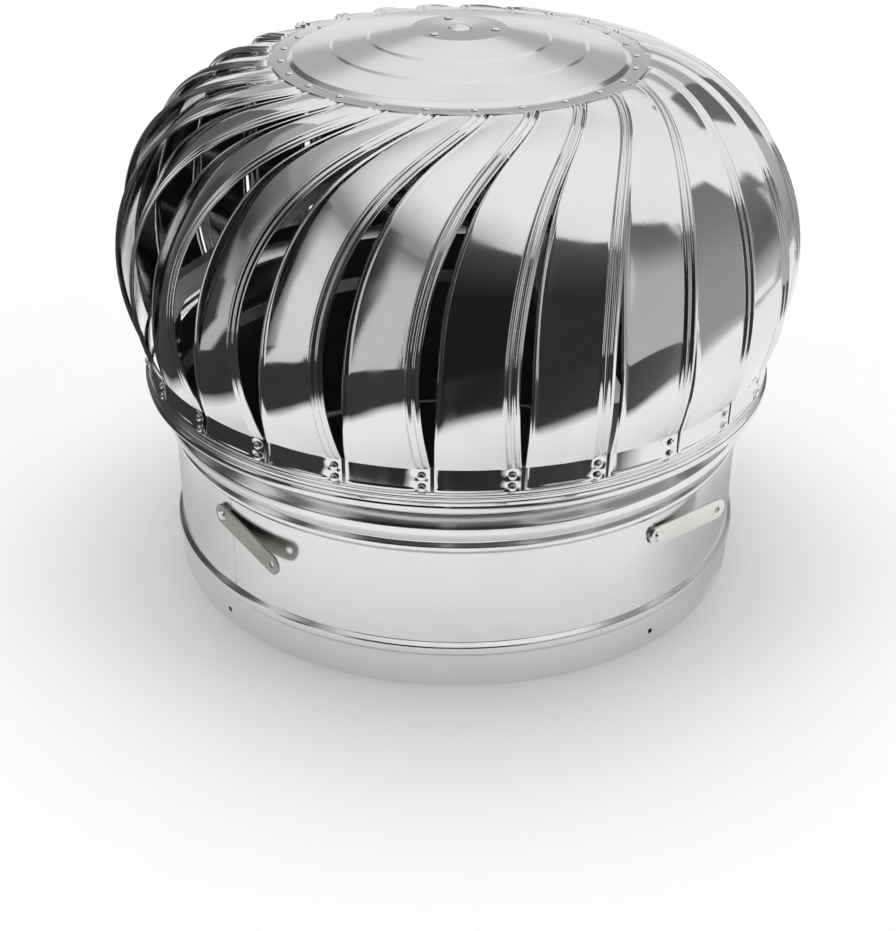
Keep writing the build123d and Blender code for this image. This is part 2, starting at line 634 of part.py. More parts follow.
with BuildPart() as shaft_rivets:
    with BuildSketch(Plane.XY.offset(plateau_z)):
        with PolarLocations(BOSS_RIVET_R, 3, start_angle=BOSS_RIVET_PHASE):
            RegularPolygon(BOSS_HEAD_R, HEAD_SIDES)
    extrude(amount=HEAD_H, taper=35)
    with BuildSketch(Plane.XY.offset(flange_bottom)):
        with PolarLocations(BOSS_RIVET_R, 3, start_angle=BOSS_RIVET_PHASE):
            RegularPolygon(BOSS_SHANK_R, HEAD_SIDES)
    extrude(amount=plateau_z - flange_bottom)
    with BuildSketch(Plane.XY.offset(flange_bottom)):
        with PolarLocations(BOSS_RIVET_R, 3, start_angle=BOSS_RIVET_PHASE):
            RegularPolygon(BOSS_HEAD_R, HEAD_SIDES)
    extrude(amount=-HEAD_H)
keep("shaft_rivets", shaft_rivets.part)

with BuildPart() as sleeve:
    with BuildSketch(Plane.XY.offset(LOWER_SEAT + BEARING_W)):
        Circle(SLEEVE_R)
        Circle(BEARING_BORE_R, mode=Mode.SUBTRACT)
    extrude(amount=UPPER_SEAT - LOWER_SEAT - BEARING_W)
keep("bearing_sleeve", sleeve.part)

with BuildPart() as shaft_washer:
    with BuildSketch(Plane.XY.offset(LOWER_SEAT)):
        Circle(NUT_WASHER_R)
        Circle(STUD_R + FIT, mode=Mode.SUBTRACT)
    extrude(amount=-NUT_WASHER_T)
keep("shaft_washer", shaft_washer.part)

with BuildPart() as shaft_nut:
    with BuildSketch(Plane.XY.offset(LOWER_SEAT - NUT_WASHER_T)):
        RegularPolygon(NUT_AF / 2, 6, major_radius=False)
        Circle(STUD_R + FIT, mode=Mode.SUBTRACT)
    extrude(amount=-NUT_H)
keep("shaft_nut", shaft_nut.part)

# ---------------------------------------------------------------- export
os.makedirs("parts", exist_ok=True)
for name, part in pieces.items():
    export_step(part, f"parts/{name}.step")
print(len(pieces), "pieces, top of the pip at", round(plateau_z + PIP_H, 1))
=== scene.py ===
"""Dresses the rigid frame of a roof turbine ventilator: vanes, turned shells, rivets and finishes.

Lengths are metres in the frame's own space: +Z is up, the front faces -Y, and the origin is the
centre of the neck's lower edge. Angles are measured about +Z from +X.
"""
import math

import bmesh
import bpy
from bpy.props import FloatProperty, FloatVectorProperty, IntProperty, PointerProperty
from bpy.types import Operator, Panel, PropertyGroup
from mathutils import Matrix, Quaternion, Vector


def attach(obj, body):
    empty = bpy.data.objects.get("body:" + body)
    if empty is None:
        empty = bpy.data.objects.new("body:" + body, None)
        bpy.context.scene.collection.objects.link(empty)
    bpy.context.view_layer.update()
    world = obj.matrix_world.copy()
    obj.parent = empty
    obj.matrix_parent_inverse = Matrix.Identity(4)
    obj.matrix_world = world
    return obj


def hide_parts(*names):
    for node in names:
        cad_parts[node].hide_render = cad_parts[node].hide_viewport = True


bl_info = {
    "name": "Roof Turbine Ventilator",
    "version": (1, 0, 0),
    "blender": (4, 5, 0),
    "location": "3D View > Sidebar > Ventilator",
    "description": "Vanes, turned shells, rivets and finishes for a wind-driven roof ventilator",
    "category": "Object",
}

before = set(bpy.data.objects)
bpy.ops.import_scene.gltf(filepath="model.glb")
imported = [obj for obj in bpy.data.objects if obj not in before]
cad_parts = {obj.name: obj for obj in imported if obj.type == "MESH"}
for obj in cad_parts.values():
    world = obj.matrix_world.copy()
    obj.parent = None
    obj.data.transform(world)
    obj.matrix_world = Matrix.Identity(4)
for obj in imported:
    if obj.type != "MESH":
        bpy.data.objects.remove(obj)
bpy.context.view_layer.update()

MM = 0.001
FRONT = math.radians(-90)

# One row for each cut through a vane, from its foot to its top tab: radius and height of the free
# edge, radius and height of the inner edge (mm), and the sweep of both from the foot rivets (degrees).
VANE_ROWS = (
    (268.4, 211.5, 268.4, 211.5, 1.4, -12.4),
    (277.6, 235.0, 274.8, 236.1, 0.7, -12.3),
    (284.0, 262.0, 275.6, 263.2, 0.2, -12.1),
    (285.6, 290.0, 273.1, 289.7, 0.0, -12.0),
    (282.6, 318.0, 268.1, 315.3, 0.4, -11.7),
    (275.4, 345.0, 260.3, 338.0, 1.4, -11.0),
    (263.5, 370.0, 250.3, 360.4, 3.0, -9.9),
    (247.5, 392.0, 238.0, 383.7, 5.4, -8.0),
    (226.5, 412.0, 221.6, 405.7, 9.3, -4.9),
    (202.0, 427.0, 199.8, 423.1, 15.2, 0.6),
    (178.0, 436.0, 177.3, 433.5, 21.8, 7.0),
    (157.5, 440.3, 157.3, 438.9, 27.4, 12.6),
    (154.0, 440.5, 154.0, 440.5, 27.2, 13.4),
)
VANE_STEPS = 60                       # sections drawn between the foot and the tab
RIBS_GROW = (0.02, 0.11)              # shares of the way up over which the ribs start and end
RIBS_FADE = (0.90, 0.955)
BULGE_GROWS = (0.0, 0.2)              # the same for the bulge between the edges
BULGE_FADES = (0.86, 1.0)

# Heights at which the foot is drawn, as shares of it: close where its panel starts and ends.
FOOT_SHARES = (0.0, 0.05, 0.08, 0.10, 0.12, 0.14, 0.19, 0.24, 0.29, 0.34, 0.40, 0.46, 0.52, 0.58,
               0.64, 0.70, 0.76, 0.82, 0.88, 0.92, 0.94, 0.95, 0.96, 0.97, 0.98, 0.99)
FOOT_HEIGHT = 0.020                   # height of a foot
FOOT_RIVET_SHARES = (0.16, 0.65)      # heights of a foot's two dimples
FOOT_RIVET_IN = 0.0066                # their distance from the free edge
DIMPLE_REACH = (0.0030, 0.0068)       # a dimple's flat middle, and its edge
PANEL_FROM_EDGE = (0.0140, 0.0150)    # where a foot's panel starts, from the free edge
PANEL_FROM_INNER = (0.0020, 0.0030)   # where it starts, from the inner edge
PANEL_LOWER = (0.10, 0.14)            # its lower and upper ends, as shares of the foot
PANEL_UPPER = (0.94, 0.99)

# Outlines of the turned shells: radius, height and rounding of each corner (mm).
NECK_OUTLINE = (
    (249.5, 0, 0), (250.5, 0, 0.3), (250.5, 29.2, 1.2),                         # skirt
    (252.9, 33.0, 2.4), (252.9, 38.4, 2.4), (248.8, 41.6, 1.2),                 # lower bead
    (248.8, 125.0, 1.2), (251.3, 128.6, 1.8), (251.3, 132.0, 1.8),              # upper bead
    (248.8, 134.8, 0.8), (248.8, 137.8, 0.8), (254.6, 139.4, 3.0),              # groove
    (256.9, 146.0, 5.0), (256.9, 153.0, 5.0), (250.0, 160.8, 2.0),              # collar
    (250.0, 190.0, 0.3), (249.0, 190.0, 0), (249.0, 160.5, 2.0),                # band
    (255.2, 152.0, 4.0), (255.2, 147.0, 4.0), (247.8, 138.0, 1.0),              # inside
    (247.8, 40.0, 1.0), (249.5, 29.5, 0.5),
)
RING_OUTLINE = (
    (266.6, 211.0, 0), (267.6, 211.0, 0.3), (267.6, 190.4, 0.6),                # drum
    (269.2, 189.2, 0.6), (269.2, 187.2, 0.8), (268.0, 186.6, 0.4),              # mouldings
    (269.4, 185.6, 0.7), (269.2, 183.2, 0.7), (267.8, 182.6, 0.4),
    (271.2, 180.6, 2.2), (271.2, 174.0, 2.4), (264.8, 173.5, 2.0),              # rolled edge
    (264.8, 181.0, 1.5), (266.6, 183.0, 0.8),
)
TOP_OUTLINE = (
    (151.8, 441.4, 0), (151.8, 442.4, 0.3), (138.4, 442.5, 1.5),                # flat rim
    (134.4, 445.4, 2.5), (104.3, 450.9, 1.5), (101.7, 452.3, 2.0),              # outer step
    (74.3, 457.3, 1.5), (71.7, 458.8, 2.0), (38.5, 465.0, 2.5),                 # inner step
    (10.2, 465.3, 0.8), (9.2, 466.3, 0.6), (5.4, 467.8, 1.0),                   # middle and pip
    (0.8, 468.7, 0.5), (0, 468.7, 0), (0, 464.2, 0), (38, 464.2, 0),
    (134.0, 443.9, 1.0), (137.5, 441.4, 0.5),
)
WALL_R = 0.2488                       # outside of the neck's plain wall
WALL_SPAN = (0.0424, 0.1240)          # its lower and upper ends
LAP_TURN = FRONT - math.radians(46.8)
SKIRT_R = 0.250
SCREW_TURN = FRONT - math.radians(49.2)
SCREW_HEIGHT = 0.013

# Seats of the rivet heads: radius and heights.
RIM_RIVET_R = 0.1433
RIM_RIVET_HEIGHT = 0.4424
RIM_RIVET_SWEEP = math.radians(24.5)  # from a vane's foot rivets to its rim rivet
FOOT_RIVET_R = 0.2693
FOOT_RIVET_HEIGHTS = (0.1947, 0.2045)
BOSS_RIVET_R = 0.0295
BOSS_RIVET_HEIGHTS = (0.4652, 0.4612)  # heads above and below the top plate
BOSS_RIVET_TURN = FRONT + math.radians(78)

# One row for each metal: name, the colour's setting, roughness where polished and where smudged,
# scale of the smudges, scale and depth (m) of the sheet's buckle, and share of rolling lines.
METALS = (
    ("bright vane steel", "vane_colour", 0.05, 0.16, 11, 16, 0.0006, 0.03),
    ("bright ring steel", "vane_colour", 0.06, 0.18, 9, 10, 0.0004, 0.03),
    ("pale neck steel", "neck_colour", 0.15, 0.26, 7, 8, 0.0005, 0.05),
    ("spun top steel", "top_colour", 0.13, 0.20, 8, 9, 0.0002, 0.02),
    ("rivet metal", "rivet_colour", 0.14, 0.28, 60, 90, 0.0002, 0.02),
    ("plain inner steel", "inner_colour", 0.28, 0.48, 18, 30, 0.0003, 0.05),
    ("ground shaft steel", "inner_colour", 0.18, 0.35, 40, 60, 0.0001, 0.05),
    # The front-left strap's darker steel colour is painted shade: it stands in for the darker
    # mirroring of a strap that tilts out from the neck, which is drawn flat.
    ("dull strap steel with painted shade", "strap_painted_shade_colour", 0.34, 0.50, 30, 50, 0.0002, 0.08),
    ("bright strap steel", "strap_colour", 0.20, 0.34, 30, 50, 0.0002, 0.08),
)

# Nodes that are shown with the frame's own shapes, under the metal that each is made of.
KEPT_NODES = {
    "plain inner steel": ("bearing_housing", "support_arm_1", "support_arm_2", "support_arm_3",
                          "housing_bolts", "housing_nuts"),
    "ground shaft steel": ("bearing_outer_ring_upper", "bearing_outer_ring_lower",
                           "bearing_inner_ring_upper", "bearing_inner_ring_lower",
                           "bearing_sleeve", "rotor_shaft", "shaft_washer", "shaft_nut"),
    # tie_strap_1 gets the darker copy of the strap steel, which is painted shade.
    "dull strap steel with painted shade": ("tie_strap_1",),
    "bright strap steel": ("tie_strap_2", "tie_strap_3", "tie_strap_4"),
    "rivet metal": ("arm_rivets", "strap_rivets"),
}

# Upright cards that only polished metal sees. From and to, in degrees to the right of the front;
# lean of the top, in degrees to the left; then pairs of height (m) and grey, from the bottom up.
# A height below 0 lies on the floor, that far in front of the card.
STUDIO_CARDS = (
    (-122, -98, 6, ((0, 0.055), (0.80, 0.060), (1.50, 0.22))),
    (-98, -91, 8, ((-0.62, 0.48), (0, 0.52), (0.25, 0.42), (0.70, 0.12))),
    (-91, -78, 9, ((0, 0.045), (0.90, 0.060), (1.55, 0.12))),
    (-78, -75, 9, ((0, 0.28), (0.90, 0.33), (1.45, 0.30))),
    (-75, -62, 9, ((-0.36, 0.70), (0, 0.76), (1.05, 0.76), (1.50, 0.40))),
    (-62, -50, 6, ((0, 0.038), (1.00, 0.042), (1.60, 0.09))),
    (-50, -36, 5, ((-0.05, 0.55), (0, 0.60), (1.05, 0.60), (1.40, 0.14))),
    (-36, -2, 2, ((0, 0.013), (0.90, 0.013), (1.72, 0.08))),
    (-2, 27, 0, ((0, 0.032), (0.90, 0.030), (1.72, 0.10))),
    (27, 49, -4, ((0, 0.50), (0.85, 0.48), (1.20, 0.18), (1.55, 0.13))),
    (49, 80, -6, ((0, 0.36), (0.60, 0.33), (1.00, 0.24), (1.45, 0.20))),
    (80, 97, -6, ((0.08, 0.70), (0.40, 0.15), (0.55, 0.13), (0.95, 0.20))),
    (97, 128, 0, ((0, 0.45), (0.10, 0.30), (0.80, 0.60))),
    (128, 150, 0, ((0, 0.15), (0.90, 0.15), (1.45, 0.18))),
    (150, 210, 0, ((0.35, 0.85), (0.73, 0.85), (0.79, 0.46), (1.17, 0.46), (1.25, 0.85),
                   (1.75, 0.95))),
    (210, 238, 0, ((0, 0.12), (0.90, 0.12), (1.45, 0.18))),
)

# Edge of the pale floor in what the metal mirrors. Direction as above, where the dark floor
# starts and where it is full, in metres from the axis, and its grey.
FLOOR_EDGE = (
    (-180, 0.90, 1.10, 0.100),
    (-130, 0.50, 0.60, 0.070),
    (-105, 0.41, 0.45, 0.045),
    (-75, 0.43, 0.50, 0.036),
    (-52, 0.50, 0.56, 0.042),
    (-38, 0.59, 0.66, 0.045),
    (-28, 0.61, 0.69, 0.045),
    (-10, 0.60, 0.69, 0.018),
    (5, 0.57, 0.65, 0.028),
    (20, 0.52, 0.60, 0.040),
    (32, 0.52, 0.59, 0.050),
    (45, 0.57, 0.65, 0.100),
    (55, 0.66, 0.80, 0.250),
    (65, 0.92, 1.20, 0.450),
    (100, 1.34, 1.38, 0.500),
    (150, 1.20, 1.35, 0.300),
    (180, 0.90, 1.10, 0.100),
)

# Soft grey patches on the floor close beside the neck, in what the metal mirrors, one to the right
# and one to the left: direction as above, grey, and how much of it shows.
NECK_SHADES = (
    ((48, 0.42, 0.0), (66, 0.36, 0.55), (90, 0.33, 0.8), (130, 0.33, 0.8), (160, 0.40, 0.0)),
    ((-160, 0.42, 0.0), (-120, 0.38, 0.7), (-80, 0.42, 0.6), (-52, 0.48, 0.0)),
)
NECK_SHADE_REACH = ((0.256, 0.7), (0.30, 1.0), (0.36, 0.8), (0.42, 0.0))   # radius, how much shows

CARD_STEPS = 6                        # flat strips in each card, and between two floor rows
CARD_LIFT = 0.004                     # mirrored layers above the floor, one over the other
DARK_FLOOR_LIFT = 0.002
NECK_SHADE_LIFT = 0.001
FLOOR_HALF = 30.0                     # half the side of the floor
FLOOR_FADE = (0.38, 1.0)              # distances between which the seen floor turns white
THROAT_EDGE = (0.246, 0.248)          # distances between which the floor turns to painted shade inside the neck
# Grey of the painted shade on the floor inside the neck.
THROAT_PAINTED_SHADE = (0.05, 0.05, 0.05, 1)

EYE = (0.0, -1.3345, 0.8209)
EYE_DOWN = math.radians(29.628)       # how far the camera looks down
EYE_TURN = 0.0050
EYE_ROLL = 0.00736


# ------------------------------------------------------------------ settings
def length(name, description, default):
    """A setting in metres."""
    return FloatProperty(name=name, description=description, default=default, unit="LENGTH")


def colour(name, description, default):
    """A setting for an opaque colour."""
    return FloatVectorProperty(
        name=name, description=description, default=(*default, 1.0), subtype="COLOR",
        size=4, min=0, max=1)


class VaneSettings(PropertyGroup):
    """Sizes of the vanes and of what is pressed into them."""

    count: IntProperty(name="Vanes", description="Number of vanes", default=25, min=3)
    phase: FloatProperty(
        name="First vane", description="Direction of the first vane's foot rivets",
        default=math.radians(-80.9), subtype="ANGLE")
    sheet: length("Sheet", "Gauge of the vane sheet", 0.0008)
    rib_width: length("Rib width", "Width of each of the two ribs along the free edge", 0.0058)
    rib_height: length("Rib height", "How far the ribs stand out", 0.0020)
    hem_width: length("Hem width", "Width of the hem along the inner edge", 0.0032)
    hem_height: length("Hem height", "How far the hem stands out", 0.0007)
    bulge: length("Bulge", "How far the sheet bulges between its edges", 0.0016)
    recess: length("Foot recess", "Depth of the slanted panel pressed into each foot", 0.0013)
    foot_lean: length(
        "Foot lean", "How far the foot's lower edge is drawn in by its rivets", 0.0005)
    dimple: length("Rivet dimple", "Depth of the dimple round each foot rivet", 0.0004)
    foot_bottom: length("Foot bottom", "Height of the foot's lower edge", 0.1915)
    tab_radius: length("Tab radius", "Radius where the top tab ends under the top plate", 0.1385)


class NeckSettings(PropertyGroup):
    """Sizes of the small things on the neck."""

    lap_width: length("Lap width", "Width of the lapped edge of the neck's sheet", 0.003)
    lap_height: length("Lap height", "How far the lapped edge stands proud", 0.0003)
    screw_hole: length("Screw hole", "Radius of the four screw holes in the skirt", 0.0024)


class RivetSettings(PropertyGroup):
    """Sizes of the rivet heads."""

    rim_head: length("Rim head", "Radius of the rivet heads round the top plate", 0.0030)
    foot_head: length("Foot head", "Radius of the rivet heads in the vane feet", 0.0031)
    boss_head: length("Boss head", "Radius of the three rivet heads near the centre", 0.0036)
    dome: length("Dome", "Height of a rivet head", 0.0015)


class FinishSettings(PropertyGroup):
    """Colours of the metals."""

    vane_colour: colour("Vane steel", "Colour of the bright vane steel", (0.80, 0.80, 0.80))
    neck_colour: colour("Neck steel", "Colour of the rolled neck steel", (0.84, 0.84, 0.84))
    top_colour: colour("Top steel", "Colour of the spun top plate", (0.80, 0.80, 0.80))
    rivet_colour: colour("Rivet metal", "Colour of the rivet heads", (0.86, 0.86, 0.85))
    inner_colour: colour("Inner steel", "Colour of the arms and the housing", (0.60, 0.61, 0.62))
    strap_colour: colour("Strap steel", "Colour of the tie straps", (0.80, 0.79, 0.77))
    # Darker colour for the front-left strap, painted shade for its tilt away from the neck.
    strap_painted_shade_colour: colour(
        "Strap steel with painted shade", "Colour of the strap darkened as painted shade at the front left", (0.42, 0.41, 0.38))


class StudioSettings(PropertyGroup):
    """Floor, lamps and camera."""

    floor_colour: colour("Floor", "Colour of the plain floor", (0.93, 0.93, 0.93))
    wall_radius: length("Studio wall", "Distance of the upright cards that the metal mirrors", 1.4)
    top_light: FloatProperty(
        name="Top light", description="Power of the overhead softbox in watts", default=26.0)
    side_light: FloatProperty(
        name="Side light", description="Power of each side softbox in watts", default=10.0)
    lens: FloatProperty(
        name="Lens", description="Focal length in millimetres on a 36 mm sensor", default=67.12)


# ------------------------------------------------------------------ geometry helpers
def polar(radius, angle, height):
    """A point given by radius, direction and height."""
    return Vector((radius * math.cos(angle), radius * math.sin(angle), height))


def smooth_step(low, high, value):
    """0 below low, 1 above high, and a soft change between them."""
    share = min(max((value - low) / (high - low), 0.0), 1.0)
    return share * share * (3 - 2 * share)


def piece(name, mesh, body, material, replaced=()):
    """An object that rides on a body and stands for CAD nodes."""
    obj = bpy.data.objects.new(name, mesh)
    bpy.context.scene.collection.objects.link(obj)
    mesh.materials.append(material)
    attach(obj, body)
    if replaced:
        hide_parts(*replaced)
    return obj


def smoothed(builder, name, crease=math.radians(32)):
    """A mesh with soft shading that breaks only at its creases."""
    bmesh.ops.recalc_face_normals(builder, faces=builder.faces)
    for face in builder.faces:
        face.smooth = True
    for edge in builder.edges:
        edge.smooth = len(edge.link_faces) == 2 and edge.calc_face_angle(0) < crease
    mesh = bpy.data.meshes.new(name)
    builder.to_mesh(mesh)
    builder.free()
    return mesh


def rounded(corners, steps=5):
    """A closed outline whose corners (radius, height, rounding in mm) are rounded, in metres."""
    outline = []
    for index, (radius, height, rounding) in enumerate(corners):
        here = Vector((radius, height))
        if not rounding:
            outline.append(here * MM)
            continue
        before = Vector(corners[index - 1][:2]) - here
        after = Vector(corners[(index + 1) % len(corners)][:2]) - here
        reach = rounding / math.tan(before.angle(after) / 2)
        reach = min(reach, 0.49 * before.length, 0.49 * after.length)
        start = here + before.normalized() * reach
        end = here + after.normalized() * reach
        for step in range(steps + 1):
            t = step / steps
            point = start * (1 - t) ** 2 + here * (2 * t * (1 - t)) + end * t**2
            outline.append(point * MM)
    return outline


def turned(name, corners, segments):
    """A mesh turned about the axis from a rounded outline. Corners on the axis close it."""
    builder = bmesh.new()
    outline = rounded(corners)
    rings = []
    for radius, height in outline:
        if radius < 1e-6:
            rings.append([builder.verts.new((0, 0, height))] * segments)
            continue
        turn = 2 * math.pi / segments
        rings.append([builder.verts.new(polar(radius, k * turn, height)) for k in range(segments)])
    for near, far in zip(rings, rings[1:] + rings[:1]):
        for k in range(segments):
            after = (k + 1) % segments
            corners_of_face = []
            for vertex in (near[k], near[after], far[after], far[k]):
                if vertex not in corners_of_face:
                    corners_of_face.append(vertex)
            if len(corners_of_face) > 2:
                builder.faces.new(corners_of_face)
    return smoothed(builder, name)


def domes(name, seats, radius, dome, segments=20, rings=5):
    """One mesh of rivet heads, each on a seat given by its centre and outward direction."""
    builder = bmesh.new()
    for centre, outward in seats:
        side = outward.orthogonal().normalized()
        other = outward.cross(side)
        layers = [(radius, 0.0)]
        for ring in range(rings):
            share = ring / rings
            ring_r = radius * math.cos(share * math.pi / 2) ** 0.7
            lift = dome * (0.25 + 0.75 * math.sin(share * math.pi / 2))
            layers.append((ring_r, lift))
        loops = []
        for ring_r, lift in layers:
            loop = []
            for k in range(segments):
                turn = 2 * math.pi * k / segments
                spoke = side * math.cos(turn) + other * math.sin(turn)
                loop.append(builder.verts.new(centre + spoke * ring_r + outward * lift))
            loops.append(loop)
        top = builder.verts.new(centre + outward * dome)
        for near, far in zip(loops, loops[1:]):
            for k in range(segments):
                after = (k + 1) % segments
                builder.faces.new((near[k], near[after], far[after], far[k]))
        for k in range(segments):
            builder.faces.new((loops[-1][k], loops[-1][(k + 1) % segments], top))
        builder.faces.new(list(reversed(loops[0])))
    return smoothed(builder, name, crease=math.radians(60))


# ------------------------------------------------------------------ shader helpers
def new_material(name):
    """An empty node material and its node tree."""
    material = bpy.data.materials.new(name)
    material.use_nodes = True
    material.node_tree.nodes.clear()
    return material, material.node_tree


def node(tree, kind, **values):
    """A node with its properties and sockets set by name, in the order given."""
    made = tree.nodes.new(kind)
    for key, value in values.items():
        if key in made.inputs:
            made.inputs[key].default_value = value
        else:
            setattr(made, key, value)
    return made


def between(tree, low, high, top=1.0, **values):
    """A node that maps low to 0 and high to top, and stays inside them."""
    made = node(tree, "ShaderNodeMapRange", **values)
    made.inputs["From Min"].default_value = low
    made.inputs["From Max"].default_value = high
    made.inputs["To Max"].default_value = top
    return made


def group_tree(name, inputs, outputs):
    """A shader node group with named sockets, and its two end nodes."""
    tree = bpy.data.node_groups.new(name, "ShaderNodeTree")
    for label, kind, default in inputs:
        socket = tree.interface.new_socket(label, in_out="INPUT", socket_type=kind)
        socket.default_value = default
    for label, kind in outputs:
        tree.interface.new_socket(label, in_out="OUTPUT", socket_type=kind)
    return tree, tree.nodes.new("NodeGroupInput"), tree.nodes.new("NodeGroupOutput")


def smudge_group():
    """Handling marks: soft patches, wisps and specks of roughness, and a light clouding."""
    tree, given, put = group_tree(
        "handling smudges",
        (("Colour", "NodeSocketColor", (0.8, 0.8, 0.8, 1)), ("Scale", "NodeSocketFloat", 9.0),
         ("Polished", "NodeSocketFloat", 0.04), ("Smudged", "NodeSocketFloat", 0.16)),
        (("Colour", "NodeSocketColor"), ("Roughness", "NodeSocketFloat")))
    link = tree.links.new
    place = node(tree, "ShaderNodeTexCoord")
    patches = node(tree, "ShaderNodeTexNoise", Detail=5.0, Roughness=0.6, Distortion=0.4)
    specks = node(tree, "ShaderNodeTexNoise", Scale=900.0, Detail=2.0)
    cover = between(tree, 0.48, 0.78)
    rough = between(tree, 0.0, 1.0)
    dulled = node(tree, "ShaderNodeMix", data_type="RGBA", blend_type="MULTIPLY")
    dulled.inputs["B"].default_value = (0.93, 0.93, 0.92, 1)
    fleck = between(tree, 0.68, 0.74, top=0.25)
    stretch = node(tree, "ShaderNodeMapping")
    stretch.inputs["Rotation"].default_value = (0.5, 0.3, 0)
    stretch.inputs["Scale"].default_value = (2.2, 2.2, 0.5)
    wisps = node(tree, "ShaderNodeTexNoise", Scale=9.0, Detail=3.0, Distortion=1.2)
    streak = between(tree, 0.60, 0.74, top=0.6)
    marked = node(tree, "ShaderNodeMath", operation="ADD")
    both = node(tree, "ShaderNodeMath", operation="ADD", use_clamp=True)
    link(place.outputs["Object"], stretch.inputs["Vector"])
    link(stretch.outputs["Vector"], wisps.inputs["Vector"])
    link(wisps.outputs["Fac"], streak.inputs["Value"])
    link(place.outputs["Object"], patches.inputs["Vector"])
    link(given.outputs["Scale"], patches.inputs["Scale"])
    link(place.outputs["Object"], specks.inputs["Vector"])
    link(patches.outputs["Fac"], cover.inputs["Value"])
    link(specks.outputs["Fac"], fleck.inputs["Value"])
    link(cover.outputs["Result"], marked.inputs[0])
    link(streak.outputs["Result"], marked.inputs[1])
    link(marked.outputs["Value"], both.inputs[0])
    link(fleck.outputs["Result"], both.inputs[1])
    link(both.outputs["Value"], rough.inputs["Value"])
    link(given.outputs["Polished"], rough.inputs["To Min"])
    link(given.outputs["Smudged"], rough.inputs["To Max"])
    link(given.outputs["Colour"], dulled.inputs["A"])
    link(cover.outputs["Result"], dulled.inputs["Factor"])
    link(dulled.outputs["Result"], put.inputs["Colour"])
    link(rough.outputs["Result"], put.inputs["Roughness"])
    return tree


def wave_group():
    """The slight buckle of thin sheet, which bends what it mirrors, with fine rolling lines in it."""
    tree, given, put = group_tree(
        "sheet buckle",
        (("Scale", "NodeSocketFloat", 14.0), ("Lines", "NodeSocketFloat", 0.02)),
        (("Height", "NodeSocketFloat"),))
    link = tree.links.new
    place = node(tree, "ShaderNodeTexCoord")
    swell = node(tree, "ShaderNodeTexNoise", Detail=1.5, Roughness=0.45)
    stretch = node(tree, "ShaderNodeMapping")
    stretch.inputs["Scale"].default_value = (900, 900, 12)
    lines = node(tree, "ShaderNodeTexNoise", Scale=1.0, Detail=3.0, Roughness=0.7)
    scaled = node(tree, "ShaderNodeMath", operation="MULTIPLY")
    both = node(tree, "ShaderNodeMath", operation="ADD")
    link(place.outputs["Object"], swell.inputs["Vector"])
    link(given.outputs["Scale"], swell.inputs["Scale"])
    link(place.outputs["Object"], stretch.inputs["Vector"])
    link(stretch.outputs["Vector"], lines.inputs["Vector"])
    link(lines.outputs["Fac"], scaled.inputs[0])
    link(given.outputs["Lines"], scaled.inputs[1])
    link(swell.outputs["Fac"], both.inputs[0])
    link(scaled.outputs["Value"], both.inputs[1])
    link(both.outputs["Value"], put.inputs["Height"])
    return tree


def steel(name, tint, polished, smudged, patch_scale, buckle_scale, buckle_depth, lines):
    """Sheet steel: polish that drifts with handling, over slightly buckled sheet."""
    material, tree = new_material(name)
    link = tree.links.new
    marks = node(
        tree, "ShaderNodeGroup", node_tree=bpy.data.node_groups["handling smudges"],
        Colour=tint, Scale=patch_scale, Polished=polished, Smudged=smudged)
    buckle = node(
        tree, "ShaderNodeGroup", node_tree=bpy.data.node_groups["sheet buckle"],
        Scale=buckle_scale, Lines=lines)
    bump = node(tree, "ShaderNodeBump", Strength=1.0, Distance=buckle_depth)
    metal = node(tree, "ShaderNodeBsdfPrincipled", Metallic=1.0)
    out = node(tree, "ShaderNodeOutputMaterial")
    link(marks.outputs["Colour"], metal.inputs["Base Color"])
    link(marks.outputs["Roughness"], metal.inputs["Roughness"])
    link(buckle.outputs["Height"], bump.inputs["Height"])
    link(bump.outputs["Normal"], metal.inputs["Normal"])
    link(metal.outputs["BSDF"], out.inputs["Surface"])


def finishes():
    """The named metals, made once."""
    if "bright vane steel" in bpy.data.materials:
        return bpy.data.materials
    smudge_group()
    wave_group()
    chosen = bpy.context.scene.vent_finish
    for name, setting, *measures in METALS:
        steel(name, getattr(chosen, setting), *measures)
    spun = bpy.data.materials["spun top steel"].node_tree
    shader = spun.nodes["Principled BSDF"]
    shader.inputs["Anisotropic"].default_value = 0.5
    tangent = node(spun, "ShaderNodeTangent", direction_type="RADIAL", axis="Z")
    spun.links.new(tangent.outputs["Tangent"], shader.inputs["Tangent"])
    return bpy.data.materials


# ------------------------------------------------------------------ vanes
def blend_rows(rows, t):
    """A smooth row of values at t, from 0 at the first row to 1 at the last (cubic B-spline)."""
    padded = [rows[0], rows[0], *rows, rows[-1], rows[-1]]
    spot = min(max(t, 0.0), 1.0) * (len(rows) + 1)
    index = min(int(spot), len(rows))
    f = spot - index
    weights = ((1 - f) ** 3, 3 * f**3 - 6 * f**2 + 4, -3 * f**3 + 3 * f**2 + 3 * f + 1, f**3)
    chosen = padded[index:index + 4]
    return [sum(w * row[k] for w, row in zip(weights, chosen)) / 6 for k in range(len(rows[0]))]


